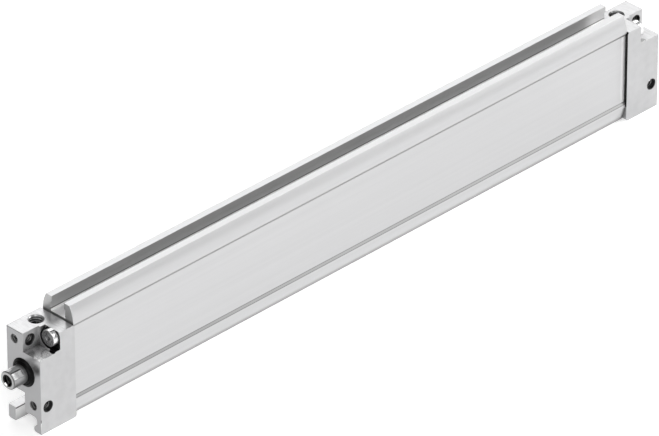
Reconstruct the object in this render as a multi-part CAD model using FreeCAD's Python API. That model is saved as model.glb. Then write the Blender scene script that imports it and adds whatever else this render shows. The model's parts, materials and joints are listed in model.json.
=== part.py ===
import FreeCAD, Part
import math
import os

V = FreeCAD.Vector
AXIS_X = V(1, 0, 0)
AXIS_Y = V(0, 1, 0)
AXIS_Z = V(0, 0, 1)
CENTRE = V(0, 0, 0)

# A flat double-acting pneumatic cylinder with a flat oval piston. Sizes are in millimetres.
# X runs along the rod axis from the rod end to the closed end, and X = 0 is the front cap's front face.
# Y = 0 and Z = 0 are the rod axis, and Z is up.

# Main sizes
stroke = 250.0
cap_length = 16.5
cap_width = 16.5
cap_top = 15.4          # rod axis to a cap's top face
groove_floor = 15.9     # rod axis to the groove floors and to the ceilings of the caps' slots
lip_top = 21.9          # rod axis to the barrel's lip tops and to the undersides of the caps' legs

# Barrel section
bore_width = 10.0
bore_height = 22.2
band_inset = 0.65       # the barrel's side bands stand this far inside the caps
side_recess = 0.6       # the main side faces are this far below the bands
recess_half_height = 15.1
recess_draft = 1.2      # the recess is this much higher at its mouth than at its floor
lip_half_width = 5.8    # rod axis to the outer edge of a lip's flat top
groove_mouth = 6.2
groove_width = 7.5      # under the hooks
groove_foot = 7.2       # at the floor
groove_foot_height = 0.95
hook_height = 2.3
hook_slope = 0.25

# Cap notches, each with a deeper pocket around a cap screw
notch_floor = 8.15
notch_wall = 0.2
notch_length = 7.4
pocket_depth = 2.2
pocket_radius = 3.85
edge_break = 0.15
seam_break = 0.6        # chamfer on a cap's top edge against the barrel

# Slot on the underside of a cap, with a bead on its near leg
slot_far = 4.65
slot_near = 6.05
slot_fillet = 1.5
bead_radius = 1.5
bead_height = 1.2       # bead centre above the leg's underside
leg_drop = 0.6          # top of the cut-off far leg, below the slot's ceiling
leg_round = 1.0

# Threaded holes, drawn at their nominal diameters
fixing_thread = 3.0
cross_thread = 4.0
port_thread = 5.0
rod_thread = 4.0
mouth_chamfer = 0.25
fixing_y = 4.4
fixing_z = 11.7
fixing_depth = 6.0
cross_x = 3.4
port_x = 9.8
port_y = 3.8
port_depth = 7.3
port_chamfer = 0.45
channel_diameter = 2.2
channel_y = 1.2
channel_z = 8.0

# Cap screws and the piston screw, low heads with a socket and a small groove in the side
screw_y = 4.55
screw_z = 12.4
screw_thread = 3.5
screw_head = 6.2
screw_head_height = 2.2
screw_rim = 0.12        # chamfer around a head's face
screw_socket = 2.0      # across flats
screw_socket_depth = 1.2
screw_groove = 0.42
screw_groove_depth = 0.35
screw_groove_start = 0.2
screw_groove_lean = 18.0  # degrees from upright
screw_reach = 9.0       # thread held in the barrel
screw_chamfer = 0.3     # at a screw's tip

# Piston rod
rod_diameter = 7.0
rod_reach = 7.6         # rod tip in front of the front cap
rod_chamfer = 0.3
flats_width = 6.5
flats_turn = 45.0       # degrees, one flat from upright towards -Y
flats_front = 0.5       # rod tip to the flats
flats_length = 4.3
rod_thread_depth = 10.0
rod_thread_chamfer = 0.3
rod_spigot = 5.0
rod_spigot_length = 4.0
rod_oring = 0.85
piston_screw_reach = 9.0

# Rod guide and seals in the front cap
wiper_width = 1.95
wiper_length = 2.4
wiper_sink = 0.1
wiper_nose = 1.2        # the wiper's lip in front of the cap
wiper_lip = 0.75        # wiper's lip, from the rod to its valley
wiper_edge = 0.2
wiper_valley = 0.15
wiper_shoulder = 0.6    # the wiper's outer ridge in front of the cap
seal_washer = 0.8
rod_seal_length = 3.0
bearing_wall = 0.8

# Spigots, rings and bumpers at the ends of the bore
spigot_length = 3.5
cap_oring = 0.65
cap_oring_length = 1.1
cap_oring_step = 1.0
bumper = 1.5
end_gap = 0.2           # between the piston and a bumper at the end of the stroke

# Piston
disc = 2.0
seal_length = 2.5
seal_height = 1.2
seal_groove = 0.4
seal_groove_depth = 1.0
web = 1.0
magnet_length = 4.0
magnet_thickness = 0.5
lock_washer = 0.6
lock_washer_hole = 3.8

# Clearances
seat = 0.02             # radial, between pieces that are fixed together
running = 0.04          # radial, rod in its bearing
seal_gap = 0.06         # radial, seals and guide band on the wall that they run on
slack = 0.1             # radial, metal pieces that only pass each other
screw_slack = 0.15      # radial, screw shank in a cap

# Worked-out places
half_width = cap_width / 2
bore_half = bore_width / 2
bore_centre = (bore_height - bore_width) / 2
rod_radius = rod_diameter / 2
piston_length = 2 * (disc + seal_length + web) + magnet_length
end_stack = spigot_length + bumper + end_gap
barrel_length = stroke + piston_length + 2 * end_stack
barrel_end = cap_length + barrel_length
total_length = barrel_end + cap_length
pocket_floor = notch_length + pocket_depth
piston_rear = barrel_end - end_stack
piston_front = piston_rear - piston_length
piston_middle = piston_front + piston_length / 2
wiper_seat = rod_radius + wiper_width
rod_passage = rod_radius + 2 * slack
seal_stack = wiper_sink + wiper_length + seal_washer + rod_seal_length
bearing_radius = rod_radius + bearing_wall
hub_half = bore_half - seal_height
spigot_half = bore_half - slack
head_well = screw_head / 2 + 2 * slack


def outline(start, *steps):
    """Closed face in the YZ plane; a step is a corner (y, z) or an arc (y, z through, y, z to)."""
    here = V(0, *start)
    edges = []
    for step in steps + (start,):
        there = V(0, *step[-2:])
        if here.distanceToPoint(there) > 1e-7:
            if len(step) == 4:
                edges.append(Part.Arc(here, V(0, *step[:2]), there).toShape())
            else:
                edges.append(Part.LineSegment(here, there).toShape())
        here = there
    return Part.Face(Part.Wire(edges))


def along(face, x0, x1):
    """A YZ face carried along the rod axis from x0 to x1."""
    return face.translated(V(x0, 0, 0)).extrude(V(x1 - x0, 0, 0))


def block(x0, x1, y0, y1, z0, z1):
    return Part.makeBox(x1 - x0, y1 - y0, z1 - z0, V(x0, y0, z0))


def bar(x0, x1, radius, y=0.0, z=0.0):
    return Part.makeCylinder(radius, x1 - x0, V(x0, y, z), AXIS_X)


def ring(x0, x1, outer, inner):
    return bar(x0, x1, outer).cut(bar(x0, x1, inner))


def oval(x0, x1, half):
    """Flat oval prism around the rod axis, parallel to the bore's wall, half wide each side."""
    top = bore_centre + half
    face = outline((half, -bore_centre), (half, bore_centre), (0, top, -half, bore_centre),
                   (-half, -bore_centre), (0, -top, half, -bore_centre))
    return along(face, x0, x1)


def oval_ring(x0, x1, outer, inner):
    return oval(x0, x1, outer).cut(oval(x0, x1, inner))


def turned(points):
    """Solid of revolution about the rod axis from (x, radius) corners."""
    wire = Part.makePolygon([V(x, 0, r) for x, r in points + points[:1]])
    return Part.Face(wire).revolve(CENTRE, AXIS_X, 360)


def half_turn(shape):
    """The same shape turned half round about the rod axis."""
    return shape.rotated(CENTRE, AXIS_X, 180)


def diagonal_pair(shape):
    return [shape, half_turn(shape)]


def to_rear(shape):
    """Mirror image at the other end of the cylinder."""
    return shape.mirror(V(total_length / 2, 0, 0), AXIS_X)


def drilled(mouth, inward, diameter, depth, chamfer):
    """Drill shape for a threaded hole: core, chamfered mouth and a cone at the bottom."""
    radius = diameter / 2
    tip = radius / math.tan(math.radians(59))
    core = Part.makeCylinder(radius, depth, mouth, inward)
    flare = Part.makeCone(radius + chamfer, radius, chamfer, mouth, inward)
    point = Part.makeCone(radius, 0, tip, mouth + inward * depth, inward)
    return core.fuse([flare, point])


def barrel_section():
    """Outer shape of the extrusion: flat bands, arcs that lean in to the lips, side recesses and grooves."""
    band = half_width - band_inset
    rise = lip_top - recess_half_height
    lean = band - lip_half_width
    arc_radius = (rise ** 2 + lean ** 2) / (2 * lean)
    half_rise = rise / 2
    through = band - arc_radius + math.sqrt(arc_radius ** 2 - half_rise ** 2)
    bend = recess_half_height + half_rise
    outer = outline((band, -recess_half_height), (band, recess_half_height),
                    (through, bend, lip_half_width, lip_top), (-lip_half_width, lip_top),
                    (-through, bend, -band, recess_half_height), (-band, -recess_half_height),
                    (-through, -bend, -lip_half_width, -lip_top), (lip_half_width, -lip_top),
                    (through, -bend, band, -recess_half_height))
    floor = band - side_recess
    low = recess_half_height - recess_draft
    recess = outline((band, -recess_half_height), (band, recess_half_height), (floor, low), (floor, -low))
    mouth = groove_mouth / 2
    wide = groove_width / 2
    foot = groove_foot / 2
    foot_top = groove_floor + groove_foot_height
    hook = lip_top - hook_height
    under = hook - hook_slope
    groove = outline((mouth, lip_top), (mouth, hook), (wide, under), (foot, foot_top),
                     (foot, groove_floor), (-foot, groove_floor), (-foot, foot_top),
                     (-wide, under), (-mouth, hook), (-mouth, lip_top))
    return outer.cut(diagonal_pair(recess) + diagonal_pair(groove))


def barrel():
    body = along(barrel_section().Faces[0], cap_length, barrel_end)
    body = body.cut(oval(cap_length, barrel_end, bore_half))
    depth = screw_reach + screw_thread / 2
    hole = bar(cap_length, cap_length + depth, screw_thread / 2 + seat, -screw_y, screw_z)
    holes = diagonal_pair(hole)
    return body.cut(holes + [to_rear(shape) for shape in holes])


def cap_block():
    """Cap before its holes: edges broken at the outer end, legs rounded, slot and bead underneath."""
    body = block(0, cap_length, -half_width, half_width, -lip_top, cap_top)
    broken = [e for e in body.Edges if e.BoundBox.XMax < 1e-6 and e.BoundBox.ZMax > -lip_top + 1e-6]
    body = body.makeChamfer(edge_break, broken)
    seam = [e for e in body.Edges if e.BoundBox.XMin > cap_length - 1e-6 and e.BoundBox.ZMin > cap_top - 1e-6]
    body = body.makeChamfer(seam_break, seam)
    rounded = [e for e in body.Edges if e.BoundBox.ZMax < -lip_top + 1e-6
               and (e.BoundBox.XMin > cap_length - 1e-6 or e.BoundBox.YMin > half_width - edge_break - 1e-6
                    and e.BoundBox.XLength > cap_length / 2)]
    body = body.makeFillet(leg_round, rounded)
    corner = slot_fillet * (1 - math.sqrt(0.5))
    ceiling = -groove_floor
    spring = ceiling - slot_fillet
    slot = outline((slot_far, -lip_top), (slot_far, spring),
                   (slot_far - corner, ceiling - corner, slot_far - slot_fillet, ceiling),
                   (slot_fillet - slot_near, ceiling),
                   (corner - slot_near, ceiling - corner, -slot_near, spring), (-slot_near, -lip_top))
    bead = bar(0, cap_length, bead_radius, -slot_near, bead_height - lip_top)
    return body.cut(along(slot, 0, cap_length).cut(bead))


def notch(top):
    """Open corner at a cap's outer end, up to top, and the pocket behind it, with a round inner corner."""
    front = block(0, notch_length, -half_width, notch_wall, notch_floor, top)
    low = screw_z - pocket_radius
    inner = pocket_radius - screw_y
    middle = pocket_radius * math.sqrt(0.5)
    pocket = outline((-half_width, low), (-screw_y, low),
                     (middle - screw_y, screw_z - middle, inner, screw_z),
                     (inner, top), (-half_width, top))
    return [front, along(pocket, notch_length, pocket_floor)]


def cap_holes():
    """Fixing threads on one diagonal, crossed by the cross threads, and the screws' holes on the other."""
    fixing = drilled(V(0, fixing_y, fixing_z), AXIS_X, fixing_thread, fixing_depth, mouth_chamfer)
    radius = cross_thread / 2
    length = half_width - notch_wall
    outside = V(cross_x, half_width, fixing_z)
    inside = V(cross_x, notch_wall, fixing_z)
    cross = Part.makeCylinder(radius, length, outside, -AXIS_Y)
    outer_mouth = Part.makeCone(radius + mouth_chamfer, radius, mouth_chamfer, outside, -AXIS_Y)
    inner_mouth = Part.makeCone(radius + mouth_chamfer, radius, mouth_chamfer, inside, AXIS_Y)
    shank = bar(pocket_floor, cap_length, screw_thread / 2 + screw_slack, -screw_y, screw_z)
    tools = [fixing, cross, outer_mouth, inner_mouth, shank]
    return tools + [half_turn(tool) for tool in tools]


def air_way():
    """Supply port on the top face and the channel from it to the bore."""
    port = drilled(V(port_x, port_y, cap_top), -AXIS_Z, port_thread, port_depth, port_chamfer)
    channel = bar(port_x, cap_length + spigot_length, channel_diameter / 2, channel_y, channel_z)
    return [port, channel]


def cap():
    """Cap with its spigot in the bore and the groove for its ring, closed on the rod axis."""
    spigot = oval(cap_length, cap_length + spigot_length, spigot_half)
    body = cap_block().fuse(spigot)
    start = cap_length + cap_oring_step
    groove = oval_ring(start, start + cap_oring_length, spigot_half, bore_half - cap_oring)
    far_notch = [half_turn(tool) for tool in notch(groove_floor + leg_drop)]
    tools = notch(cap_top) + far_notch + cap_holes() + air_way() + [groove]
    return body.cut(tools).removeSplitter()


def front_cap():
    """The cap with the rod's way through it: seal seat, bearing seat and passage."""
    seats = [bar(0, seal_stack, wiper_seat), bar(seal_stack, cap_length, bearing_radius + seat),
             bar(cap_length, cap_length + spigot_length, rod_passage)]
    return cap().cut(seats)


def socket_screw(seat_x, y, z, length, lean):
    """Low-head screw along +X with its head's underside at seat_x; lean turns its side groove."""
    head_radius = screw_head / 2
    front = seat_x - screw_head_height
    head = turned([(front, 0), (front, head_radius - screw_rim), (front + screw_rim, head_radius),
                   (seat_x, head_radius), (seat_x, 0)])
    thread = screw_thread / 2
    tip = seat_x + length
    shank = turned([(seat_x, 0), (seat_x, thread), (tip - screw_chamfer, thread),
                    (tip, thread - screw_chamfer), (tip, 0)])
    corner = screw_socket / math.sqrt(3)
    turns = [math.radians(60 * step) for step in range(6)]
    hexagon = outline(*[(corner * math.cos(turn), corner * math.sin(turn)) for turn in turns])
    socket = along(hexagon, front, front + screw_socket_depth)
    groove = block(front + screw_groove_start, seat_x, -screw_groove / 2, screw_groove / 2,
                   head_radius - screw_groove_depth, screw_head)
    groove.rotate(CENTRE, AXIS_X, lean)
    return head.fuse(shank).cut([socket, groove]).translated(V(0, y, z))


def front_cap_screws():
    length = cap_length - pocket_floor + screw_reach
    return diagonal_pair(socket_screw(pocket_floor, -screw_y, screw_z, length, screw_groove_lean))


def cap_ring():
    start = cap_length + cap_oring_step
    end = start + cap_oring_length
    return oval_ring(start + seat, end - seat, bore_half - seat, bore_half - cap_oring + seat)


def bumper_plate(hole):
    """Elastic plate on a spigot's end, with holes for the rod and the air channel."""
    start = cap_length + spigot_length
    plate = oval(start, start + bumper, spigot_half)
    airway = bar(start, start + bumper, channel_diameter / 2 + slack, channel_y, channel_z)
    return plate.cut([airway, bar(start, start + bumper, hole)])


def rod_wiper():
    """Ring with a cone in front of the cap: outer ridge, shallow valley and a lip on the rod."""
    lip = rod_radius + seal_gap
    outer = wiper_seat - seat
    valley = lip + wiper_lip
    back = wiper_sink + wiper_length
    return turned([(back, lip), (-wiper_nose, lip), (-wiper_nose, lip + wiper_edge),
                   (wiper_valley - wiper_shoulder, valley), (-wiper_shoulder, valley + wiper_edge),
                   (wiper_sink, outer), (back, outer)])


def rod_washer():
    front = wiper_sink + wiper_length
    return ring(front, front + seal_washer, wiper_seat - seat, rod_passage)


def rod_seal():
    """Lip seal around the rod, open towards the bore."""
    front = wiper_sink + wiper_length + seal_washer
    back = front + rod_seal_length
    middle = (wiper_seat + rod_radius) / 2
    lips = ring(back - seal_groove_depth, back, middle + seal_groove / 2, middle - seal_groove / 2)
    return ring(front, back, wiper_seat - seat, rod_radius + seal_gap).cut(lips)


def rod_bearing():
    return ring(seal_stack, cap_length, bearing_radius, rod_radius + running)


def piston_rod():
    """Rod with wrench flats and a threaded hole at its tip, and a spigot for the piston at its other end."""
    tip = -rod_reach
    end = piston_front + rod_spigot_length
    spigot = rod_spigot / 2
    body = turned([(tip, 0), (tip, rod_radius - rod_chamfer), (tip + rod_chamfer, rod_radius),
                   (piston_front, rod_radius), (piston_front, spigot), (end, spigot), (end, 0)])
    start = tip + flats_front
    side = block(start, start + flats_length, -rod_radius, rod_radius, flats_width / 2, rod_radius)
    side.rotate(CENTRE, AXIS_X, flats_turn)
    mouth = drilled(V(tip, 0, 0), AXIS_X, rod_thread, rod_thread_depth, rod_thread_chamfer)
    rear = bar(end - piston_screw_reach - screw_thread, end, screw_thread / 2 + seat)
    return body.cut(diagonal_pair(side) + [mouth, rear])


def piston_shape():
    """Both piston halves as one: discs and webs at full size, seal and magnet seats at hub size."""
    body = oval(piston_front, piston_rear, hub_half)
    flange = bore_half - slack
    seal_end = disc + seal_length
    for start, length in ((0, disc), (seal_end, web)):
        body = body.fuse(oval(piston_front + start, piston_front + start + length, flange))
        body = body.fuse(oval(piston_rear - start - length, piston_rear - start, flange))
    ring_seat = bar(piston_front, piston_front + rod_oring, rod_spigot / 2 + rod_oring)
    spigot_seat = bar(piston_front, piston_front + rod_spigot_length, rod_spigot / 2 + seat)
    shank = bar(piston_front, piston_rear, screw_thread / 2 + screw_slack)
    well = bar(piston_rear - screw_head_height - lock_washer, piston_rear, head_well)
    return body.cut([ring_seat, spigot_seat, shank, well]).removeSplitter()


def piston_halves():
    reach = bore_height
    front = block(piston_front, piston_middle, -reach, reach, -reach, reach)
    rear = block(piston_middle, piston_rear, -reach, reach, -reach, reach)
    whole = piston_shape()
    return whole.common(front), whole.common(rear)


def piston_seal(face, out):
    """Oval lip seal; face is its pressure side and out is +1 or -1, the way that side looks."""
    back = face - out * seal_length
    outer = bore_half - seal_gap
    x0, x1 = sorted((face - out * seat, back + out * seat))
    g0, g1 = sorted((face, face - out * seal_groove_depth))
    middle = (outer + hub_half) / 2
    lips = oval_ring(g0, g1, middle + seal_groove / 2, middle - seal_groove / 2)
    return oval_ring(x0, x1, outer, hub_half + seat).cut(lips)


def magnet_and_band():
    """Oval magnet ring on the hub, with the guide band around it."""
    x0 = piston_middle - magnet_length / 2 + seat
    x1 = piston_middle + magnet_length / 2 - seat
    magnet_half = hub_half + seat + magnet_thickness
    magnet = oval_ring(x0, x1, magnet_half, hub_half + seat)
    band = oval_ring(x0, x1, bore_half - seal_gap, magnet_half + seat)
    return magnet, band


def piston_ring():
    outer = rod_spigot / 2 + rod_oring
    return ring(piston_front + seat, piston_front + rod_oring, outer - seat, rod_spigot / 2 + seat)


def piston_fastening():
    """Screw from the piston's rear into the rod's end, turned round to point at it, and its lock washer."""
    seat_x = piston_rear - screw_head_height
    under = piston_front + rod_spigot_length
    length = seat_x - under + piston_screw_reach
    screw = socket_screw(0, 0, 0, length, 0).mirror(CENTRE, AXIS_X).translated(V(seat_x, 0, 0))
    washer = ring(seat_x - lock_washer, seat_x, screw_head / 2, lock_washer_hole / 2)
    return screw, washer


front_half, rear_half = piston_halves()
magnet, guide_band = magnet_and_band()
piston_screw, piston_washer = piston_fastening()
screws = front_cap_screws()

pieces = {
    "barrel_profile": barrel(),
    "front_cap": front_cap(),
    "rear_cap": to_rear(cap()),
    "front_cap_screws": Part.makeCompound(screws),
    "rear_cap_screws": Part.makeCompound([to_rear(screw) for screw in screws]),
    "front_cap_oring": cap_ring(),
    "rear_cap_oring": to_rear(cap_ring()),
    "front_bumper": bumper_plate(rod_passage),
    "rear_bumper": to_rear(bumper_plate(head_well)),
    "rod_wiper": rod_wiper(),
    "rod_seal_washer": rod_washer(),
    "rod_seal": rod_seal(),
    "rod_bearing": rod_bearing(),
    "piston_rod": piston_rod(),
    "piston_front_half": front_half,
    "piston_rear_half": rear_half,
    "piston_magnet": magnet,
    "piston_guide_band": guide_band,
    "piston_front_seal": piston_seal(piston_front + disc, -1),
    "piston_rear_seal": piston_seal(piston_rear - disc, 1),
    "piston_rod_oring": piston_ring(),
    "piston_screw": piston_screw,
    "piston_screw_washer": piston_washer,
}

os.makedirs("parts", exist_ok=True)
for name, shape in pieces.items():
    shape.exportStep(f"parts/{name}.step")
    print(name, len(shape.Solids), "solid(s)", round(shape.Volume, 1), "mm3, valid:", shape.isValid())
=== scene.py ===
import json
import math
import bmesh
import bpy
import numpy as np
from mathutils import Matrix, Vector


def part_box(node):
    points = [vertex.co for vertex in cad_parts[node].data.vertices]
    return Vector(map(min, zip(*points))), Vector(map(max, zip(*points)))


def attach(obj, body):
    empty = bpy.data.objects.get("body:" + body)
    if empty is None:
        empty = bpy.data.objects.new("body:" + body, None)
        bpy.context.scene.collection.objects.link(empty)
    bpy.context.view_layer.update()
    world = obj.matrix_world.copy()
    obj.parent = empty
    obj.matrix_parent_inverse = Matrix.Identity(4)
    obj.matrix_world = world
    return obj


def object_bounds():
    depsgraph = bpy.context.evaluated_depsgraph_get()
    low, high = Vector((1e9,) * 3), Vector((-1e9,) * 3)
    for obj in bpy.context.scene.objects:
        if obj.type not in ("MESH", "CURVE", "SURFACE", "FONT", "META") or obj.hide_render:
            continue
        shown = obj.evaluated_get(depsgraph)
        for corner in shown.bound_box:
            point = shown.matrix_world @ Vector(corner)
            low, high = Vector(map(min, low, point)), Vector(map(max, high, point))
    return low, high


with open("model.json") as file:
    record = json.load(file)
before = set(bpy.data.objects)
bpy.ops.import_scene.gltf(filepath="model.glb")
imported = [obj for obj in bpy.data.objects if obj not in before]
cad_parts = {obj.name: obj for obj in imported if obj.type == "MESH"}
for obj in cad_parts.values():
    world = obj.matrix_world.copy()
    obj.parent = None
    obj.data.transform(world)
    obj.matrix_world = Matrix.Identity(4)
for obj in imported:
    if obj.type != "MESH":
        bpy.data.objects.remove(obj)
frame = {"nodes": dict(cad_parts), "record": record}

mm = 0.001
nodes = frame["nodes"]
mounts = {mount["name"]: mount for mount in frame["record"]["mounts"]}
cadLow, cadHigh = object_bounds()
print("frame:", len(nodes), "nodes, box", [round(v / mm, 2) for v in cadHigh - cadLow], "mm")


# Camera at the photograph's angle: yaw turns from +Y towards +X, elevation is above the horizon.
photoView = {
    "yaw": 44.854, "elevation": 32.024, "roll": -0.118,  # degrees
    "distance": 2.5965, "aside": 0.10442, "above": 0.0524,  # metres, the last two across the view
    "focalPixels": 7611.6, "imageWidth": 659, "sensorWidth": 36.0,
    "clip": (0.05, 200),  # metres
}


def placeCamera():
    yaw, tilt, roll = (math.radians(photoView[k]) for k in ("yaw", "elevation", "roll"))
    ahead = Vector((math.cos(tilt) * math.sin(yaw), math.cos(tilt) * math.cos(yaw), -math.sin(tilt)))
    right = Vector((math.cos(yaw), -math.sin(yaw), 0))
    upward = right.cross(ahead)
    place = right * photoView["aside"] + upward * photoView["above"] - ahead * photoView["distance"]
    camX = right * math.cos(roll) + upward * math.sin(roll)
    camY = upward * math.cos(roll) - right * math.sin(roll)
    data = bpy.data.cameras.new("photoCamera")
    data.sensor_fit = "HORIZONTAL"
    data.sensor_width = photoView["sensorWidth"]
    data.lens = photoView["focalPixels"] / photoView["imageWidth"] * photoView["sensorWidth"]
    data.clip_start, data.clip_end = photoView["clip"]
    camera = bpy.data.objects.new("photoCamera", data)
    bpy.context.scene.collection.objects.link(camera)
    camera.matrix_world = Matrix((camX, camY, -ahead)).transposed().to_4x4()
    camera.location = place
    bpy.context.scene.camera = camera


placeCamera()
print("camera: placed")


# Shader helpers. A group is built once and placed in each material with its own values.
def addNode(tree, kind, **settings):
    node = tree.nodes.new(kind)
    for key, value in settings.items():
        setattr(node, key, value)
    return node


def feed(tree, socket, value):
    if isinstance(value, bpy.types.NodeSocket):
        tree.links.new(value, socket)
    else:
        socket.default_value = value


def mathNode(tree, operation, *values):
    node = addNode(tree, "ShaderNodeMath", operation=operation)
    for socket, value in zip(node.inputs, values):
        feed(tree, socket, value)
    return node.outputs[0]


def vectorNode(tree, operation, first, second):
    node = addNode(tree, "ShaderNodeVectorMath", operation=operation)
    feed(tree, node.inputs[0], first)
    feed(tree, node.inputs[1], second)
    return node.outputs


def splitNode(tree, vector):
    node = addNode(tree, "ShaderNodeSeparateXYZ")
    feed(tree, node.inputs[0], vector)
    return node.outputs


def rampNode(tree, value, start, end, low=0, high=1, **settings):
    node = addNode(tree, "ShaderNodeMapRange", **settings)
    labels = ("Value", "From Min", "From Max", "To Min", "To Max")
    for label, given in zip(labels, (value, start, end, low, high)):
        feed(tree, node.inputs[label], given)
    return node.outputs[0]


def noiseNode(tree, vector, scale=1, detail=2):
    node = addNode(tree, "ShaderNodeTexNoise")
    for label, given in (("Vector", vector), ("Scale", scale), ("Detail", detail)):
        feed(tree, node.inputs[label], given)
    return node.outputs["Fac"]


def newGroup(name, inputs, outputs):
    group = bpy.data.node_groups.new(name, "ShaderNodeTree")
    for label, kind, default in inputs:
        socket = group.interface.new_socket(label, in_out="INPUT", socket_type=kind)
        socket.default_value = default
    for label, kind in outputs:
        group.interface.new_socket(label, in_out="OUTPUT", socket_type=kind)
    return group, addNode(group, "NodeGroupInput").outputs, addNode(group, "NodeGroupOutput").inputs


# Values inside the groups, the same in every material.
groupValues = {
    "wearSamples": 6, "wearFlat": 0.99, "wearBent": 0.80, "wearNoise": 900,
    "recessSamples": 6, "ringDetail": 3,
}


# Streaks: noise on stretched coordinates, so a small stretch along one axis gives lines along it.
def makeStreaks():
    group, given, result = newGroup("streaks", [
        ("Vector", "NodeSocketVector", (0, 0, 0)),
        ("Stretch", "NodeSocketVector", (1000, 1000, 1000)),
        ("Detail", "NodeSocketFloat", 2),
    ], [("Value", "NodeSocketFloat")])
    scaled = vectorNode(group, "MULTIPLY", given["Vector"], given["Stretch"])["Vector"]
    feed(group, result["Value"], noiseNode(group, scaled, detail=given["Detail"]))
    return group


# Edge wear: where a rounded normal leaves the face's own, an edge is near. A noise breaks the worn line up.
def makeEdgeWear():
    group, given, result = newGroup("edgeWear", [
        ("Vector", "NodeSocketVector", (0, 0, 0)),
        ("Radius", "NodeSocketFloat", 0.2 * mm),
        ("Breakup", "NodeSocketFloat", 0.5),
    ], [("Mask", "NodeSocketFloat"), ("Normal", "NodeSocketVector")])
    rounded = addNode(group, "ShaderNodeBevel", samples=groupValues["wearSamples"])
    feed(group, rounded.inputs["Radius"], given["Radius"])
    surface = addNode(group, "ShaderNodeNewGeometry")
    same = vectorNode(group, "DOT_PRODUCT", rounded.outputs[0], surface.outputs["Normal"])["Value"]
    edge = rampNode(group, same, groupValues["wearFlat"], groupValues["wearBent"],
                    interpolation_type="SMOOTHSTEP")
    noise = noiseNode(group, given["Vector"], groupValues["wearNoise"])
    patchy = mathNode(group, "MULTIPLY", noise, given["Breakup"])
    worn = mathNode(group, "SUBTRACT", 1.0, patchy)
    feed(group, result["Mask"], mathNode(group, "MULTIPLY", edge, worn))
    feed(group, result["Normal"], rounded.outputs[0])
    return group


# Recess shade: how much of the sky a point misses within a short reach, a mask for painted shade in hollows
# and corners.
def makeRecessShade():
    group, given, result = newGroup("recess", [
        ("Reach", "NodeSocketFloat", 3 * mm),
        ("Open", "NodeSocketFloat", 0.6),
        ("Closed", "NodeSocketFloat", 0.15),
    ], [("Mask", "NodeSocketFloat")])
    shade = addNode(group, "ShaderNodeAmbientOcclusion", samples=groupValues["recessSamples"])
    feed(group, shade.inputs["Distance"], given["Reach"])
    deep = rampNode(group, shade.outputs["AO"], given["Open"], given["Closed"],
                    interpolation_type="SMOOTHSTEP")
    feed(group, result["Mask"], deep)
    return group


# Turning rings: fine grooves that depend only on the distance from the X axis and on the place along it.
def makeTurning():
    group, given, result = newGroup("turning", [
        ("Vector", "NodeSocketVector", (0, 0, 0)),
        ("Rings", "NodeSocketFloat", 9000),
    ], [("Value", "NodeSocketFloat")])
    parts = splitNode(group, given["Vector"])
    ySquare = mathNode(group, "MULTIPLY", parts["Y"], parts["Y"])
    zSquare = mathNode(group, "MULTIPLY", parts["Z"], parts["Z"])
    radius = mathNode(group, "SQRT", mathNode(group, "ADD", ySquare, zSquare))
    place = addNode(group, "ShaderNodeCombineXYZ")
    feed(group, place.inputs["X"], mathNode(group, "MULTIPLY", parts["X"], given["Rings"]))
    feed(group, place.inputs["Y"], mathNode(group, "MULTIPLY", radius, given["Rings"]))
    rings = noiseNode(group, place.outputs[0], detail=groupValues["ringDetail"])
    feed(group, result["Value"], rings)
    return group


# Facing: one where a face looks along an axis, either way, by more than a given share.
def makeFacing():
    group, given, result = newGroup("facing", [
        ("Axis", "NodeSocketVector", (1, 0, 0)),
        ("Least", "NodeSocketFloat", 0.5),
    ], [("Mask", "NodeSocketFloat")])
    surface = addNode(group, "ShaderNodeNewGeometry")
    along = vectorNode(group, "DOT_PRODUCT", surface.outputs["True Normal"], given["Axis"])["Value"]
    share = mathNode(group, "ABSOLUTE", along)
    feed(group, result["Mask"], mathNode(group, "GREATER_THAN", share, given["Least"]))
    return group


# Underside: one where a surface looks down steeply, fading to nothing as its normal rises from Down to Up.
def makeUnderside():
    group, given, result = newGroup("underside", [
        ("Down", "NodeSocketFloat", -0.7),
        ("Up", "NodeSocketFloat", 0),
    ], [("Mask", "NodeSocketFloat")])
    parts = splitNode(group, addNode(group, "ShaderNodeNewGeometry").outputs["Normal"])
    feed(group, result["Mask"], rampNode(group, parts["Z"], given["Down"], given["Up"], 1, 0))
    return group


# Spot: one around a place, fading to nothing from the inner to the outer distance.
def makeSpot():
    group, given, result = newGroup("spot", [
        ("Vector", "NodeSocketVector", (0, 0, 0)),
        ("Place", "NodeSocketVector", (0, 0, 0)),
        ("Inner", "NodeSocketFloat", 1 * mm),
        ("Outer", "NodeSocketFloat", 2 * mm),
    ], [("Mask", "NodeSocketFloat")])
    away = vectorNode(group, "DISTANCE", given["Vector"], given["Place"])["Value"]
    feed(group, result["Mask"], rampNode(group, away, given["Inner"], given["Outer"], 1, 0))
    return group


# Joint shade: one close to the barrel's two ends and no higher than the groove floors, where painted shade
# darkens the joint.
def makeJointShade():
    group, given, result = newGroup("jointShade", [
        ("Vector", "NodeSocketVector", (0, 0, 0)),
        ("Middle", "NodeSocketFloat", 0),
        ("Half", "NodeSocketFloat", 100 * mm),
        ("Reach", "NodeSocketFloat", 0.5 * mm),
        ("Height", "NodeSocketFloat", 16 * mm),
    ], [("Mask", "NodeSocketFloat")])
    parts = splitNode(group, given["Vector"])
    along = mathNode(group, "SUBTRACT", parts["X"], given["Middle"])
    fromMiddle = mathNode(group, "ABSOLUTE", along)
    close = mathNode(group, "COMPARE", fromMiddle, given["Half"], given["Reach"])
    height = mathNode(group, "ABSOLUTE", parts["Z"])
    lowEnough = mathNode(group, "LESS_THAN", height, given["Height"])
    feed(group, result["Mask"], mathNode(group, "MULTIPLY", close, lowEnough))
    return group


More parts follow.
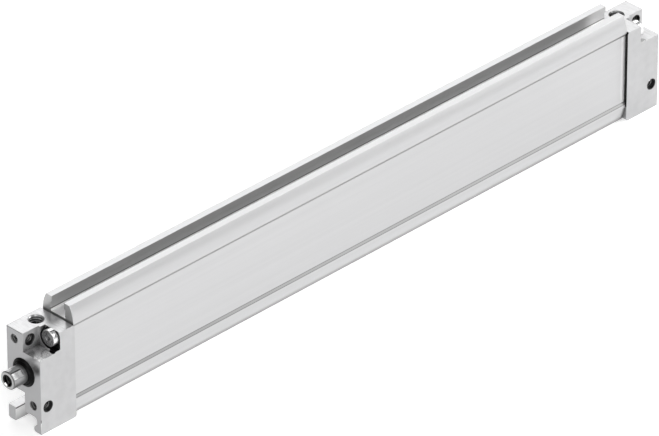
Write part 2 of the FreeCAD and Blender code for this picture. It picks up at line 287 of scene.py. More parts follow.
groups = {
    "streaks": makeStreaks(), "edgeWear": makeEdgeWear(), "recess": makeRecessShade(), "turning": makeTurning(),
    "facing": makeFacing(), "underside": makeUnderside(), "spot": makeSpot(), "jointShade": makeJointShade(),
}
axes = {"X": (1, 0, 0), "Y": (0, 1, 0), "Z": (0, 0, 1)}


def grey(value):
    return (value, value, value)


class Finish:
    # A material under construction: its tree, its Principled shader and the object's own coordinates.
    def __init__(self, name, color, roughness, metallic):
        self.material = bpy.data.materials.new(name)
        self.material.use_nodes = True
        self.tree = self.material.node_tree
        self.shader = self.tree.nodes["Principled BSDF"]
        self.shader.inputs["Base Color"].default_value = (*color, 1)
        self.shader.inputs["Roughness"].default_value = roughness
        self.shader.inputs["Metallic"].default_value = metallic
        self.place = addNode(self.tree, "ShaderNodeTexCoord").outputs["Object"]
        parts = splitNode(self.tree, self.place)
        self.x, self.y, self.z = parts["X"], parts["Y"], parts["Z"]

    def group(self, name, **values):
        node = addNode(self.tree, "ShaderNodeGroup", node_tree=groups[name])
        if "Vector" in node.inputs:
            feed(self.tree, node.inputs["Vector"], values.pop("Vector", self.place))
        for label, value in values.items():
            feed(self.tree, node.inputs[label], value)
        return node.outputs

    # Most of a noise lies between the start and the end given here.
    def ramp(self, value, low, high, start=0.3, end=0.7):
        return rampNode(self.tree, value, start, end, low, high)

    def mix(self, share, first, second, blend="MIX"):
        node = addNode(self.tree, "ShaderNodeMix", data_type="RGBA", blend_type=blend)
        feed(self.tree, node.inputs["Factor"], share)
        for socket, color in ((node.inputs[6], first), (node.inputs[7], second)):
            feed(self.tree, socket, color if isinstance(color, bpy.types.NodeSocket) else (*color, 1))
        return node.outputs[2]

    def bump(self, height, distance, strength, normal):
        node = addNode(self.tree, "ShaderNodeBump")
        node.inputs["Strength"].default_value = strength
        node.inputs["Distance"].default_value = distance
        feed(self.tree, node.inputs["Height"], height)
        feed(self.tree, node.inputs["Normal"], normal)
        return node.outputs[0]

    def out(self, label, value):
        feed(self.tree, self.shader.inputs[label], value)

    def math(self, operation, *values):
        return mathNode(self.tree, operation, *values)

    def both(self, first, *others):
        for other in others:
            first = self.math("MULTIPLY", first, other)
        return first

    def size(self, value):
        return self.math("ABSOLUTE", value)

    def below(self, value, limit):
        return self.math("LESS_THAN", value, limit)

    def above(self, value, limit):
        return self.math("GREATER_THAN", value, limit)

    def facing(self, axis, least=0.5):
        return self.group("facing", Axis=axis, Least=least)["Mask"]

    def point(self, x, y, z):
        node = addNode(self.tree, "ShaderNodeCombineXYZ")
        for socket, value in zip(node.inputs, (x, y, z)):
            feed(self.tree, socket, value)
        return node.outputs[0]

    def fromLine(self, y, z):
        across = self.point(0.0, self.y, self.z)
        return vectorNode(self.tree, "DISTANCE", across, (0, y, z))["Value"]


# The joint of caps and barrel shows as a dark line of painted shade. Only faces that look along the barrel
# take it.
barrelLow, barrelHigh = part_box("barrel_profile")
joint = {
    "barrelShade": grey(0.28), "capShade": grey(0.009), "capShadeMetallic": 1,
    "place": {"Middle": (barrelLow.x + barrelHigh.x) / 2, "Half": (barrelHigh.x - barrelLow.x) / 2,
              "Reach": 0.5 * mm, "Height": 15.95 * mm},
}


# Satin anodised extrusion: faint lines along the barrel from the die and pale worn edges. Its grooves take
# painted light on their foot and painted shade on their walls, the shallow step along each side is darker
# with painted shade lines at its edges, the underside, the ends, the joints and the rear end's bottom take
# painted shade, and the sides by the rear cap take painted light.
extrusion = {
    "color": (0.55, 0.55, 0.555), "pale": (0.57, 0.57, 0.575), "worn": grey(0.74), "edge": 0.18 * mm,
    "ends": grey(0.46),
    "grooveHalf": 3.9 * mm, "foot": grey(0.80), "wall": grey(0.50),
    "ledgeShade": grey(0.03), "ledgeHeight": 16.85 * mm, "ledgeHalf": 0.17 * mm,
    "step": grey(0.42), "stepFacing": 0.2, "stepFrom": 7.0 * mm, "stepBelow": 16.6 * mm,
    "stepShadeLine": grey(0.27), "stepEdges": (14.02 * mm, 14.98 * mm), "stepHalf": 0.14 * mm,
    "under": grey(0.32), "underTurn": {"Down": -0.42, "Up": -0.33},
    "rearPaintedLight": grey(0.95), "rearRamp": (2.4 * mm, 1.2 * mm), "rearBelow": 13.9 * mm,
    "wedgeShade": grey(0.10), "wedgeLength": 1.7 * mm, "wedgeBelow": -16.4 * mm,
    "metallic": 0.75, "roughness": (0.36, 0.44), "bump": 0.002 * mm, "bumpStrength": 0.5, "grainShare": 0.4,
    "dieLines": (14, 5200, 5200), "broadLines": (5, 700, 700), "grain": (9000, 9000, 9000), "grainDetail": 3,
}


# The grooves: painted light makes the foot pale, painted shade darkens the upper walls and draws a line at
# the ledge.
def grooveColor(finish, color, height):
    above = finish.above(height, extrusion["ledgeHeight"])
    within = finish.mix(above, extrusion["foot"], color)
    within = finish.mix(finish.both(finish.facing(axes["Y"]), above), within, extrusion["wall"])
    line = finish.math("COMPARE", height, extrusion["ledgeHeight"], extrusion["ledgeHalf"])
    return finish.mix(line, within, extrusion["ledgeShade"])


# The step is darker, with painted shade lines along both its edges.
def stepColor(finish, color, height, aside):
    step = finish.both(finish.facing(axes["Z"], extrusion["stepFacing"]),
                       finish.below(height, extrusion["stepBelow"]),
                       finish.above(aside, extrusion["stepFrom"]))
    color = finish.mix(step, color, extrusion["step"])
    for edgeHeight in extrusion["stepEdges"]:
        line = finish.math("COMPARE", height, edgeHeight, extrusion["stepHalf"])
        color = finish.mix(finish.both(step, line), color, extrusion["stepShadeLine"])
    return color


def anodisedExtrusion():
    finish = Finish("anodisedExtrusion", extrusion["color"], extrusion["roughness"][1],
                    extrusion["metallic"])
    fine = finish.group("streaks", Stretch=extrusion["dieLines"])["Value"]
    broad = finish.group("streaks", Stretch=extrusion["broadLines"])["Value"]
    grain = finish.group("streaks", Stretch=extrusion["grain"], Detail=extrusion["grainDetail"])["Value"]
    edge = finish.group("edgeWear", Radius=extrusion["edge"])
    height, aside = finish.size(finish.z), finish.size(finish.y)
    ends = finish.facing(axes["X"])
    color = finish.mix(finish.ramp(broad, 0, 1), extrusion["color"], extrusion["pale"])
    color = finish.mix(edge["Mask"], color, extrusion["worn"])
    # Painted light on the barrel's sides near the rear cap, lifting the shade by the joint.
    fromRear = finish.math("SUBTRACT", barrelHigh.x, finish.x)
    rearPaintedLight = finish.both(finish.ramp(fromRear, 0, 1, *extrusion["rearRamp"]),
                           finish.below(height, extrusion["rearBelow"]), finish.facing(axes["Y"]))
    color = finish.mix(rearPaintedLight, color, extrusion["rearPaintedLight"])
    inGroove = finish.below(aside, extrusion["grooveHalf"])
    color = finish.mix(inGroove, color, grooveColor(finish, color, height))
    color = stepColor(finish, color, height, aside)
    # Painted shade on the underside.
    under = finish.group("underside", **extrusion["underTurn"])["Mask"]
    color = finish.mix(under, color, extrusion["under"])
    # Painted shade at the bottom of the barrel's rear end.
    atRear = finish.ramp(finish.x, 0, 1, barrelHigh.x - extrusion["wedgeLength"], barrelHigh.x)
    wedgeShade = finish.both(atRear, finish.below(finish.z, extrusion["wedgeBelow"]))
    color = finish.mix(wedgeShade, color, extrusion["wedgeShade"])
    # Painted shade: the end faces are darker, and darkest at the joints with the caps.
    color = finish.mix(ends, color, finish.mix(1.0, color, extrusion["ends"], "DARKEN"))
    paintedShade = finish.both(ends, finish.group("jointShade", **joint["place"])["Mask"])
    finish.out("Base Color", finish.mix(paintedShade, color, joint["barrelShade"]))
    finish.out("Roughness", finish.ramp(fine, *extrusion["roughness"]))
    marks = finish.math("ADD", fine, finish.math("MULTIPLY", grain, extrusion["grainShare"]))
    finish.out("Normal", finish.bump(marks, extrusion["bump"], extrusion["bumpStrength"], edge["Normal"]))
    return finish.material


# Fine-machined caps, clear anodised: short milling lines, fine grain and bright broken edges. Painted shade
# lies in the holes, corners and joints and on the end faces, with a painted dark reflection of the rod beside
# the wiper.
# The front cap's notch floors are glossier, and a painted reflection makes them paler towards the near side.
# The legs under the slots take painted light and shade.
capMetal = {
    "color": (0.47, 0.47, 0.475), "pale": (0.51, 0.51, 0.515), "worn": grey(0.70), "edge": 0.15 * mm,
    "ends": (0.36, 0.36, 0.365), "brushed": grey(0.30), "brushRamp": (0, 0.8, 0.5, 0.7),
    "paintedShade": grey(0.012), "hole": {"Reach": 6 * mm, "Open": 0.46, "Closed": 0.25},
    "corner": grey(0.38), "cornerShade": {"Reach": 4 * mm, "Open": 0.85, "Closed": 0.3},
    "shadeAbove": (-16.2 * mm, -15.2 * mm),  # the open slots underneath take no painted shade
    "rodReflection": grey(0.09),
    "rodReflectionSpot": {"Place": (0, -6.3 * mm, 4.15 * mm), "Inner": 1.1 * mm, "Outer": 2.9 * mm},
    "sideInside": 8.23 * mm, "topInside": 15.25 * mm,  # the outer faces take no painted shade
    "leg": grey(0.85), "legFoot": grey(0.40), "legRamp": (-21.5 * mm, -18.0 * mm),
    "legBelow": -15.92 * mm, "legLine": -17.2 * mm,
    "milled": grey(0.9), "milledBelow": 8.6 * mm, "milledRamp": (-2.4 * mm, -5.2 * mm), "gloss": 0.14,
    "metallic": 0.75, "roughness": (0.28, 0.36), "bump": 0.002 * mm, "bumpStrength": 0.5, "grainShare": 0.6,
    "millLines": (3500, 3500, 160), "patches": (260, 260, 260), "grain": (8000, 8000, 8000),
    "brushLines": (5200, 180, 5200), "grainDetail": 3,
}
# Painted shade that every corner of the caps has in its holes and screw pocket, as places from the barrel's
# middle.
# A flat one takes in the whole width. They end within the fade.
holeShadeSpots = {
    "pocket": {"color": grey(0.012), "reach": 4.02 * mm, "flat": False,
               "place": (-145.7 * mm, -4.55 * mm, 12.4 * mm)},
    "fixingHole": {"color": grey(0.14), "reach": 1.76 * mm, "flat": False,
                   "place": (-154.2 * mm, 4.4 * mm, 11.7 * mm)},
    "crossHole": {"color": grey(0.035), "reach": 2.27 * mm, "flat": True,
                  "place": (-150.8 * mm, 0, 11.7 * mm)},
    "crossCrest": {"color": grey(0.20), "reach": 1.78 * mm, "flat": True,
                   "place": (-150.8 * mm, 0, 11.7 * mm)},
}
holeShadeFade = 0.02 * mm
# Painted shade at one place each: at the screws in the near notches, and in the rear port except on its level
# faces.
shadeSpots = {
    "front": {"color": grey(0.012),
              "spot": {"Place": (8.4 * mm, -7.2 * mm, 8.9 * mm), "Inner": 2.1 * mm, "Outer": 2.3 * mm}},
    "rear": {"color": grey(0.26),
             "spot": {"Place": (300.8 * mm, -7.2 * mm, 8.4 * mm), "Inner": 1.4 * mm, "Outer": 1.6 * mm}},
    "port": {"color": grey(0.03),
             "spot": {"Place": (297.0 * mm, 5.9 * mm, 15.1 * mm), "Inner": 1.8 * mm, "Outer": 2.0 * mm}},
}
portLevelLeast = 0.9


# The four corners are folded onto one: X about the barrel's middle, and Y and Z turned half round where Z is
# negative.
# Painted shade in the caps' holes, screw pockets, near notches and rear port.
def paintShadeInHoles(finish, color):
    fromMiddle = finish.math("SUBTRACT", finish.x, joint["place"]["Middle"])
    along = finish.math("MULTIPLY", finish.size(fromMiddle), -1.0)
    aside = finish.math("MULTIPLY", finish.y, finish.math("SIGN", finish.z))
    upward = finish.size(finish.z)
    inside = finish.both(finish.below(finish.size(aside), capMetal["sideInside"]),
                         finish.below(upward, capMetal["topInside"]))
    for paintedShade in holeShadeSpots.values():
        folded = finish.point(along, 0.0 if paintedShade["flat"] else aside, upward)
        spot = finish.group("spot", Vector=folded, Place=paintedShade["place"], Inner=paintedShade["reach"],
                            Outer=paintedShade["reach"] + holeShadeFade)["Mask"]
        color = finish.mix(finish.both(spot, inside), color, paintedShade["color"])
    sloping = finish.math("SUBTRACT", 1.0, finish.facing(axes["Z"], portLevelLeast))
    for name, where in (("front", inside), ("rear", inside), ("port", sloping)):
        spot = finish.group("spot", **shadeSpots[name]["spot"])["Mask"]
        color = finish.mix(finish.both(spot, where), color, shadeSpots[name]["color"])
    return color


# The slots underneath leave two legs. Painted light makes their inner sides pale, painted shade darkens them
# towards the floor, and a painted shadow line lies on top.
def legColor(finish, color):
    inside = finish.below(finish.size(finish.y), capMetal["sideInside"])
    leg = finish.both(finish.below(finish.z, capMetal["legBelow"]), inside, finish.facing(axes["Y"]))
    fromFoot = finish.ramp(finish.z, 0, 1, *capMetal["legRamp"])
    color = finish.mix(leg, color, finish.mix(fromFoot, capMetal["legFoot"], capMetal["leg"]))
    line = finish.both(leg, finish.above(finish.z, capMetal["legLine"]))
    return finish.mix(line, color, capMetal["paintedShade"])


def machinedCap():
    finish = Finish("machinedCap", capMetal["color"], capMetal["roughness"][1], capMetal["metallic"])
    lines = finish.group("streaks", Stretch=capMetal["millLines"])["Value"]
    patches = finish.group("streaks", Stretch=capMetal["patches"])["Value"]
    grain = finish.group("streaks", Stretch=capMetal["grain"], Detail=capMetal["grainDetail"])["Value"]
    brush = finish.group("streaks", Stretch=capMetal["brushLines"], Detail=capMetal["grainDetail"])["Value"]
    edge = finish.group("edgeWear", Radius=capMetal["edge"])
    hole = finish.group("recess", **capMetal["hole"])["Mask"]
    corner = finish.group("recess", **capMetal["cornerShade"])["Mask"]
    ends, level = finish.facing(axes["X"]), finish.facing(axes["Z"])
    aboveSlots = finish.ramp(finish.z, 0, 1, *capMetal["shadeAbove"])
    color = finish.mix(finish.ramp(patches, 0, 1), capMetal["color"], capMetal["pale"])
    brushed = finish.both(finish.ramp(brush, *capMetal["brushRamp"]), level)
    color = finish.mix(brushed, color, capMetal["brushed"])
    color = finish.mix(edge["Mask"], color, capMetal["worn"])
    # Painted shade: the end faces are darker.
    color = finish.mix(ends, color, finish.mix(1.0, color, capMetal["ends"], "DARKEN"))
    # Painted dark reflection of the rod on the front face beside the wiper.
    rodReflection = finish.group("spot", **capMetal["rodReflectionSpot"])["Mask"]
    color = finish.mix(finish.both(ends, rodReflection), color, capMetal["rodReflection"])
    # Painted shade in the corners and holes, above the open slots.
    color = finish.mix(finish.both(corner, aboveSlots), color, capMetal["corner"])
    color = finish.mix(finish.both(hole, aboveSlots), color, capMetal["paintedShade"])
    milled = finish.both(finish.below(finish.size(finish.z), capMetal["milledBelow"]), level,
                         finish.below(finish.x, joint["place"]["Middle"]))
    # Painted reflection: the front cap's notch floors grow paler towards the near side.
    nearSideReflection = finish.ramp(finish.y, 0, 1, *capMetal["milledRamp"])
    color = finish.mix(finish.both(milled, nearSideReflection), color, capMetal["milled"])
    color = legColor(finish, paintShadeInHoles(finish, color))
    # Painted shade on the end faces at the joint with the barrel, without a highlight of its own.
    paintedShade = finish.both(ends, finish.group("jointShade", **joint["place"])["Mask"])
    finish.out("Base Color", finish.mix(paintedShade, color, joint["capShade"]))
    finish.out("Metallic", finish.ramp(paintedShade, capMetal["metallic"], joint["capShadeMetallic"], 0, 1))
    gloss = finish.math("MULTIPLY", milled, capMetal["gloss"])
    finish.out("Roughness", finish.math("SUBTRACT", finish.ramp(lines, *capMetal["roughness"]), gloss))
    marks = finish.math("ADD", lines, finish.math("MULTIPLY", grain, capMetal["grainShare"]))
    finish.out("Normal", finish.bump(marks, capMetal["bump"], capMetal["bumpStrength"], edge["Normal"]))
    return finish.material


# Hard-chromed rod: fine rings from turning and grinding. The painted highlight on the wrench flats, the
# painted reflection lines beside them and the darker band by the wiper are tones of its tip alone, so the rod
# that comes out of the cap is plain. Painted shade darkens its hollows, its underside near the tip, its
# chamfer and end face and its tapped hole's mouth, which holds a painted glint.
rodMetal = {
    "color": (0.56, 0.56, 0.565), "dull": (0.50, 0.50, 0.505), "worn": grey(0.70), "edge": 0.12 * mm,
    "paintedShade": grey(0.01), "recess": {"Reach": 3 * mm, "Open": 0.8, "Closed": 0.45},
    "darkByWiper": grey(0.14), "darkByWiperSpot": {"Place": (-0.4 * mm, 0, 0), "Inner": 3.8 * mm, "Outer": 4.5 * mm},
    "flat": grey(0.82), "flatFacing": (0, -0.7071, 0.7071), "flatLeast": 0.999, "flatsEnd": -2.75 * mm,
    "line": grey(0.08), "linePlace": (-1.38 * mm, 3.22 * mm), "lineReach": 0.24 * mm,
    "sheen": grey(0.95), "sheenPlace": (1.5 * mm, 3.1 * mm), "sheenReach": 0.6 * mm,
    "under": grey(0.16), "underTurn": {"Down": -0.3, "Up": 0.65}, "underEnd": 8 * mm,
    "rim": grey(0.14), "tip": grey(0.40), "tipLeast": 0.9,
    "mouth": grey(0.035), "mouthRadius": 2.32 * mm, "mouthMetallic": 1,
    "glint": grey(0.95),
    "glintSpot": {"Place": (-7.3 * mm, 0.86 * mm, -1.87 * mm), "Inner": 0.6 * mm, "Outer": 0.9 * mm},
    "metallic": 0.75, "roughness": (0.27, 0.33), "rings": 6000, "bump": 0.0005 * mm, "bumpStrength": 0.5,
}


def chromedRod():
    finish = Finish("chromedRod", rodMetal["color"], rodMetal["roughness"][0], rodMetal["metallic"])
    rings = finish.group("turning", Rings=rodMetal["rings"])["Value"]
    edge = finish.group("edgeWear", Radius=rodMetal["edge"])
    recess = finish.group("recess", **rodMetal["recess"])["Mask"]
    atFlats = finish.below(finish.x, rodMetal["flatsEnd"])
    color = finish.mix(finish.ramp(rings, 0, 1), rodMetal["dull"], rodMetal["color"])
    color = finish.mix(edge["Mask"], color, rodMetal["worn"])
    # Painted highlight: the wrench flats are paler.
    flat = finish.both(finish.facing(rodMetal["flatFacing"], rodMetal["flatLeast"]), atFlats)
    color = finish.mix(flat, color, rodMetal["flat"])
    # Painted shade on the underside near the tip.
    under = finish.both(finish.group("underside", **rodMetal["underTurn"])["Mask"],
                        finish.ramp(finish.x, 1, 0, 0, rodMetal["underEnd"]))
    color = finish.mix(under, color, rodMetal["under"])
    # A painted dark reflection line and a painted highlight line run beside the flats.
    for name in ("line", "sheen"):
        strip = finish.below(finish.fromLine(*rodMetal[name + "Place"]), rodMetal[name + "Reach"])
        color = finish.mix(finish.both(strip, atFlats), color, rodMetal[name])
    # Painted shade: the chamfer and end face are darker.
    color = finish.mix(finish.facing(axes["X"]), color, rodMetal["rim"])
    color = finish.mix(finish.facing(axes["X"], rodMetal["tipLeast"]), color, rodMetal["tip"])
    color = finish.mix(finish.group("spot", **rodMetal["darkByWiperSpot"])["Mask"], color, rodMetal["darkByWiper"])
    # Painted shade in the hollows and in the tapped hole's mouth, with a painted glint there.
    color = finish.mix(recess, color, rodMetal["paintedShade"])
    mouth = finish.below(finish.fromLine(0, 0), rodMetal["mouthRadius"])
    color = finish.mix(mouth, color, rodMetal["mouth"])
    glint = finish.both(mouth, finish.group("spot", **rodMetal["glintSpot"])["Mask"])
    finish.out("Base Color", finish.mix(glint, color, rodMetal["glint"]))
    finish.out("Metallic", finish.ramp(mouth, rodMetal["metallic"], rodMetal["mouthMetallic"], 0, 1))
    finish.out("Roughness", finish.ramp(rings, *rodMetal["roughness"]))
    finish.out("Normal", finish.bump(rings, rodMetal["bump"], rodMetal["bumpStrength"], edge["Normal"]))
    return finish.material


# Zinc-plated screws and washers: turned sides, mottled ends and painted shade in the narrow grooves.
plating = {
    "color": grey(0.56), "dull": grey(0.12), "turned": grey(0.85), "endLeast": 0.8,
    "paintedShade": grey(0.03), "recess": {"Reach": 0.8 * mm, "Open": 0.85, "Closed": 0.45},
    "worn": grey(0.80), "edge": 0.15 * mm, "metallic": 1.0, "roughness": (0.22, 0.42),
    "grain": (2600, 2600, 2600), "grainDetail": 4, "bump": 0.012 * mm, "bumpStrength": 0.5,
}


def zincPlate():
    finish = Finish("zincPlate", plating["color"], plating["roughness"][0], plating["metallic"])
    grain = finish.group("streaks", Stretch=plating["grain"], Detail=plating["grainDetail"])["Value"]
    edge = finish.group("edgeWear", Radius=plating["edge"])
    recess = finish.group("recess", **plating["recess"])["Mask"]
    mottled = finish.mix(finish.ramp(grain, 0, 1), plating["dull"], plating["color"])
    color = finish.mix(finish.facing(axes["X"], plating["endLeast"]), plating["turned"], mottled)
    color = finish.mix(edge["Mask"], color, plating["worn"])
    finish.out("Base Color", finish.mix(recess, color, plating["paintedShade"]))
    finish.out("Roughness", finish.ramp(grain, *plating["roughness"]))
    finish.out("Normal", finish.bump(grain, plating["bump"], plating["bumpStrength"], edge["Normal"]))
    return finish.material


# Moulded and pressed materials: a grain of two tones with its own roughness and bump.
moulded = {
    "blackRubber": {"dark": grey(0.001), "pale": grey(0.003), "roughness": (0.3, 0.42),
                    "metallic": 0, "grain": 7000, "bump": 0.004, "shine": 0.07},
    "bumperRubber": {"dark": (0.02, 0.02, 0.022), "pale": (0.045, 0.045, 0.05), "roughness": (0.55, 0.75),
                     "metallic": 0, "grain": 5000, "bump": 0.015, "shine": 0.25},
    "bearingBronze": {"dark": (0.30, 0.19, 0.09), "pale": (0.52, 0.36, 0.18), "roughness": (0.32, 0.5),
                      "metallic": 1, "grain": 8000, "bump": 0.008, "shine": 0.25},
    "pistonPlastic": {"dark": (0.05, 0.05, 0.055), "pale": (0.075, 0.075, 0.08), "roughness": (0.38, 0.5),
                      "metallic": 0, "grain": 4000, "bump": 0.006, "shine": 0.25},
    "guidePlastic": {"dark": (0.48, 0.46, 0.40), "pale": (0.62, 0.60, 0.54), "roughness": (0.4, 0.55),
                     "metallic": 0, "grain": 3000, "bump": 0.006, "shine": 0.25},
    "magnetBlack": {"dark": grey(0.02), "pale": grey(0.05), "roughness": (0.5, 0.7),
                    "metallic": 0, "grain": 6000, "bump": 0.01, "shine": 0.25},
}
mouldedShared = {"edge": 0.12 * mm, "bumpStrength": 0.6, "grainDetail": 4}


def mouldedFinish(name):
    values = {**mouldedShared, **moulded[name]}
    finish = Finish(name, values["pale"], values["roughness"][1], values["metallic"])
    finish.shader.inputs["Specular IOR Level"].default_value = values["shine"]
    stretch = (values["grain"], values["grain"], values["grain"])
    grain = finish.group("streaks", Stretch=stretch, Detail=values["grainDetail"])["Value"]
    edge = finish.group("edgeWear", Radius=values["edge"])
    finish.out("Base Color", finish.mix(finish.ramp(grain, 0, 1), values["dark"], values["pale"]))
    finish.out("Roughness", finish.ramp(grain, *values["roughness"]))
    finish.out("Normal", finish.bump(grain, values["bump"] * mm, values["bumpStrength"], edge["Normal"]))
    return finish.material


finishes = {
    "anodised_extrusion": anodisedExtrusion(), "machined_aluminium": machinedCap(),
    "plated_steel": zincPlate(), "rod_steel": chromedRod(),
    "black_rubber": mouldedFinish("blackRubber"), "bumper_rubber": mouldedFinish("bumperRubber"),
    "bearing_bronze": mouldedFinish("bearingBronze"), "piston_plastic": mouldedFinish("pistonPlastic"),
    "guide_plastic": mouldedFinish("guidePlastic"), "magnet": mouldedFinish("magnetBlack"),
}
for subpart in frame["record"]["subparts"]:
    mesh = nodes[subpart["node"]].data
    mesh.materials.clear()
    mesh.materials.append(finishes[subpart["material_slot"]])


# Surfaces. Each grid is rows of points along a path, with one closed section in each row and flat ends.
sharpAngle = 35  # degrees


def surfacePiece(name, grids, slot, body):
    points, faces, start = [], [], 0
    for grid in grids:
        rows, columns = grid.shape[:2]
        index = start + np.arange(rows * columns).reshape(rows, columns)
        beside = np.roll(index, -1, axis=1)
        quads = np.stack([index[:-1], beside[:-1], beside[1:], index[1:]], axis=-1)
        faces += quads.reshape(-1, 4).tolist()
        faces += [index[0, ::-1].tolist(), index[-1].tolist()]
        points.append(grid.reshape(-1, 3))
        start += rows * columns
    mesh = bpy.data.meshes.new(name)
    mesh.from_pydata(np.concatenate(points).tolist(), [], faces)
    work = bmesh.new()
    work.from_mesh(mesh)
    bmesh.ops.recalc_face_normals(work, faces=work.faces)
    work.to_mesh(mesh)
    work.free()
    mesh.polygons.foreach_set("use_smooth", np.ones(len(mesh.polygons), bool))
    mesh.set_sharp_from_angle(angle=math.radians(sharpAngle))
    mesh.materials.append(finishes[slot])
    piece = bpy.data.objects.new(name, mesh)
    bpy.context.scene.collection.objects.link(piece)
    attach(piece, body)


# Internal threads: a trapezoid ridge on a right-handed helix, its foot just behind the wall and its crest one
# thread depth inside it. The ridge grows from little over its first part turn, shrinks over its last one, and
# stops where another hole cuts the wall.
threads = {
    "port": {"pitch": 0.8 * mm, "length": 5.6 * mm},
    "cross": {"pitch": 0.7 * mm, "length": 7.3 * mm},
    "fixing": {"pitch": 0.5 * mm, "length": 5.4 * mm},
    "rod": {"pitch": 0.7 * mm, "length": 8.4 * mm},
    "depthShare": 0.541, "footShare": 0.84, "crestShare": 0.22,  # of the pitch
    "lead": 0.9, "tail": 0.5, "runOut": 1.2,  # in turns, the first two without a ridge
    "sink": 0.02 * mm, "leastGrowth": 0.08, "segments": 40, "fewestRows": 3, "chamfer": 0.25 * mm,
}


def threadRidge(mouth, inward, radius, pitch, length, crossing=None):
    inward = np.array(inward, float)
    side = np.roll(inward, 1)
    other = np.cross(inward, side)
    turns = length / pitch - threads["lead"] - threads["tail"]
    angle = np.linspace(0, 2 * np.pi * turns, int(turns * threads["segments"]) + 1)
    outward = np.cos(angle)[:, None] * side + np.sin(angle)[:, None] * other
    centre = np.array(mouth, float) + inward * (pitch * (threads["lead"] + angle / (2 * np.pi)))[:, None]
    ends = np.minimum(angle, angle[-1] - angle) / (2 * np.pi * threads["runOut"])
    growth = np.clip(ends, threads["leastGrowth"], 1)
    height = growth * threads["depthShare"] * pitch
    foot = np.full_like(height, -threads["sink"])
    halfFoot, halfCrest = (threads[k] * pitch / 2 for k in ("footShare", "crestShare"))
    section = ((-halfFoot, foot), (-halfCrest, height), (halfCrest, height), (halfFoot, foot))
    lines = [centre + inward * shift + outward * (radius - rise)[:, None] for shift, rise in section]
    grid = np.stack(lines, axis=1)
    if crossing is None:
        return [grid]
    point, axis, reach = crossing
    off = centre + outward * radius - point
    away = np.linalg.norm(off - (off @ axis)[:, None] * axis, axis=1)
    kept = np.flatnonzero(away > reach)
    runs = np.split(kept, np.flatnonzero(np.diff(kept) > 1) + 1)
    return [grid[run] for run in runs if len(run) >= threads["fewestRows"]]


def mountHole(name):
    mount = mounts[name]
    return np.array(mount["pos_m"]), -np.array(mount["axis"], float), mount["dims"]["r_mm"] * mm


# A cross hole and a fixing hole meet in each corner, so each is the other's crossing.
def tappedHoles():
    for end in ("front", "rear"):
        mouth, inward, radius = mountHole(f"{end}_port")
        surfacePiece(f"{end}PortThread", threadRidge(mouth, inward, radius, **threads["port"]),
                     "machined_aluminium", "barrel")
        bolts = mounts[f"{end}_bolts"]
        face = np.array(bolts["pos_m"])
        into = -np.array(bolts["axis"], float)
        boltRadius = bolts["dims"]["hole_r_mm"] * mm
        for level in ("upper", "lower"):
            mouth, inward, radius = mountHole(f"{end}_{level}_cross_thread")
            reach = bolts["dims"]["pcd_mm"] * mm / 2
            across = math.sqrt(reach ** 2 - mouth[2] ** 2) * np.sign(mouth[1])
            meeting = np.array([mouth[0], across, mouth[2]])
            crossGrids = threadRidge(mouth, inward, radius, **threads["cross"],
                                     crossing=(meeting, into, boltRadius))
            surfacePiece(f"{end}{level.title()}CrossThread", crossGrids, "machined_aluminium", "barrel")
            start = np.array([face[0], across, mouth[2]]) + into * threads["chamfer"]
            boltGrids = threadRidge(start, into, boltRadius, **threads["fixing"],
                                    crossing=(meeting, inward, radius))
            surfacePiece(f"{end}{level.title()}FixingThread", boltGrids, "machined_aluminium", "barrel")
    mouth, inward, radius = mountHole("rod_thread")
    surfacePiece("rodThread", threadRidge(mouth, inward, radius, **threads["rod"]), "rod_steel", "rod")


tappedHoles()
print("threads: cut in the ports, cross holes, fixing holes and rod tip")


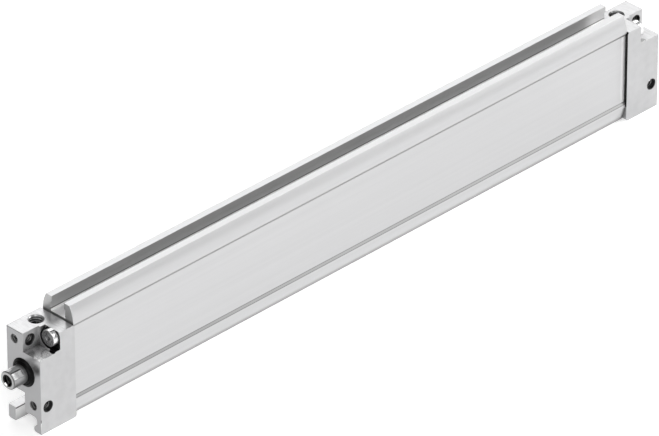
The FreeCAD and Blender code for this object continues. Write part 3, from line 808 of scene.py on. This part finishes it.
# Studio: a pale floor that glows as a light table does, an even sky and large soft lamps.
studio = {
    "floorColor": grey(0.93), "floorShade": grey(0.92), "floorGrain": (60, 60, 60), "floorRoughness": 0.8,
    "floorGlow": 0.36, "floorHalf": 30.0, "floorPoints": 9, "floorGap": 0.02 * mm, "sky": 0.1,
    "lampDistance": 3.0, "lampSize": 2.0,
    "lamps": {  # direction to the lamp (x, y, z), power
        "rightSoft": ((0.85, -0.5, 0.45), 59.5),
        "frontSoft": ((-0.55, -0.6, 0.7), 30.0),
        "frontLow": ((-0.5, -0.85, 0.12), 37.5),
        "backSoft": ((0.3, 0.9, 0.6), 15.4),
        "backRight": ((0.62, 0.55, 0.55), 17.5),
        "backRim": ((0.9, 0.4, 0.4), 6.8),
        "leftSoft": ((-0.95, 0.1, 0.45), 30.5),
    },
}


def floorFinish():
    finish = Finish("paleFloor", studio["floorColor"], studio["floorRoughness"], 0)
    grain = finish.group("streaks", Stretch=studio["floorGrain"])["Value"]
    color = finish.mix(finish.ramp(grain, 0, 1), studio["floorShade"], studio["floorColor"])
    finish.out("Base Color", color)
    finish.out("Emission Color", (1, 1, 1, 1))
    finish.out("Emission Strength", studio["floorGlow"])
    return finish.material


# The floor is a level square grid just under the part's lowest point.
def layFloor():
    half, count = studio["floorHalf"], studio["floorPoints"]
    level = cadLow.z - studio["floorGap"]
    steps = np.linspace(-half, half, count)
    x, y = np.meshgrid(steps, steps)
    corners = np.stack([x, y, np.full_like(x, level)], axis=-1).reshape(-1, 3)
    index = np.arange(count ** 2).reshape(count, count)
    quads = np.stack([index[:-1, :-1], index[:-1, 1:], index[1:, 1:], index[1:, :-1]], axis=-1)
    mesh = bpy.data.meshes.new("floor")
    mesh.from_pydata(corners.tolist(), [], quads.reshape(-1, 4).tolist())
    mesh.materials.append(floorFinish())
    floor = bpy.data.objects.new("floor", mesh)
    bpy.context.scene.collection.objects.link(floor)


def hangLamps():
    middle = (cadLow + cadHigh) / 2
    for name, (direction, power) in studio["lamps"].items():
        data = bpy.data.lights.new(name, "AREA")
        data.shape = "DISK"
        data.size = studio["lampSize"]
        data.energy = power
        lamp = bpy.data.objects.new(name, data)
        bpy.context.scene.collection.objects.link(lamp)
        away = Vector(direction).normalized()
        lamp.location = middle + away * studio["lampDistance"]
        lamp.rotation_euler = away.to_track_quat("Z", "Y").to_euler()
        lamp.visible_camera = False


def lightSky():
    world = bpy.data.worlds.new("sky")
    world.use_nodes = True
    world.node_tree.nodes["Background"].inputs["Color"].default_value = (1, 1, 1, 1)
    world.node_tree.nodes["Background"].inputs["Strength"].default_value = studio["sky"]
    bpy.context.scene.world = world
    bpy.context.scene.view_settings.view_transform = "Standard"


layFloor()
hangLamps()
lightSky()
print("studio: floor, sky and", len(studio["lamps"]), "lamps")
